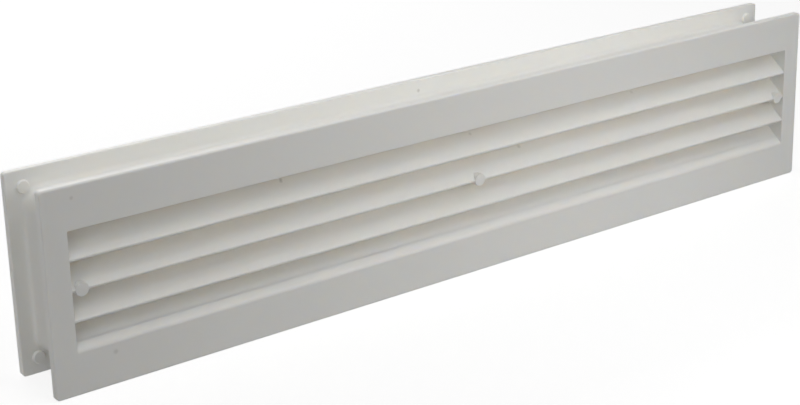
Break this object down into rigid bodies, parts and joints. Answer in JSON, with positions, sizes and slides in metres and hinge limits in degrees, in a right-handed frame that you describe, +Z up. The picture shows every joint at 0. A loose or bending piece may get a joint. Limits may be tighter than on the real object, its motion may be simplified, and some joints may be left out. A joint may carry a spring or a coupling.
{
  "type": "door vent grille",
  "caption": "Two-part telescopic louvre grille that clamps onto a door cut-out and lets air through while its sloping blades block the view.",
  "frame": {"origin": "middle of the overall box, with the two halves at their closest", "axes": "+X along the length, +Y through the door from the front faceplate to the rear one, +Z up"},
  "size_m": [0.457, 0.0356, 0.092],
  "materials": {
    "white_plastic": "white moulded polystyrene, satin",
    "screw_steel": "bright zinc plated"
  },
  "bodies": {
    "front_half": {"front_frame": "white_plastic", "front_sill": "white_plastic", "front_blade_top": "white_plastic", "front_blade_middle": "white_plastic", "front_blade_bottom": "white_plastic", "front_rib_left": "white_plastic", "front_rib_centre": "white_plastic", "front_rib_right": "white_plastic", "front_post_left": "white_plastic", "front_post_centre": "white_plastic", "front_post_right": "white_plastic"},
    "rear_half": {"rear_frame": "white_plastic", "rear_sill": "white_plastic", "rear_blade_top": "white_plastic", "rear_blade_middle": "white_plastic", "rear_blade_bottom": "white_plastic", "rear_rib_left": "white_plastic", "rear_rib_centre": "white_plastic", "rear_rib_right": "white_plastic", "rear_post_left": "white_plastic", "rear_post_centre": "white_plastic", "rear_post_right": "white_plastic"},
    "left_screw": {"screw_left": "screw_steel"},
    "centre_screw": {"screw_centre": "screw_steel"},
    "right_screw": {"screw_right": "screw_steel"}
  },
  "joints": [
    {"name": "rear_slide", "type": "slide", "parent": "front_half", "child": "rear_half", "axis": [0, 1, 0], "range_m": [0, 0.0099]},
    {"name": "left_screw_turn", "type": "hinge", "parent": "rear_half", "child": "left_screw", "pos_m": [-0.2128, 0, 0.00035], "axis": [0, 1, 0], "range_deg": [0, 3241]},
    {"name": "centre_screw_turn", "type": "hinge", "parent": "rear_half", "child": "centre_screw", "pos_m": [0, 0, 0.00035], "axis": [0, 1, 0], "range_deg": [0, 3241]},
    {"name": "right_screw_turn", "type": "hinge", "parent": "rear_half", "child": "right_screw", "pos_m": [0.2128, 0, 0.00035], "axis": [0, 1, 0], "range_deg": [0, 3241]}
  ],
  "couplings": [
    {"joint": "left_screw_turn", "follows": "rear_slide", "rad_per_m": 5712},
    {"joint": "centre_screw_turn", "follows": "rear_slide", "rad_per_m": 5712},
    {"joint": "right_screw_turn", "follows": "rear_slide", "rad_per_m": 5712}
  ]
}
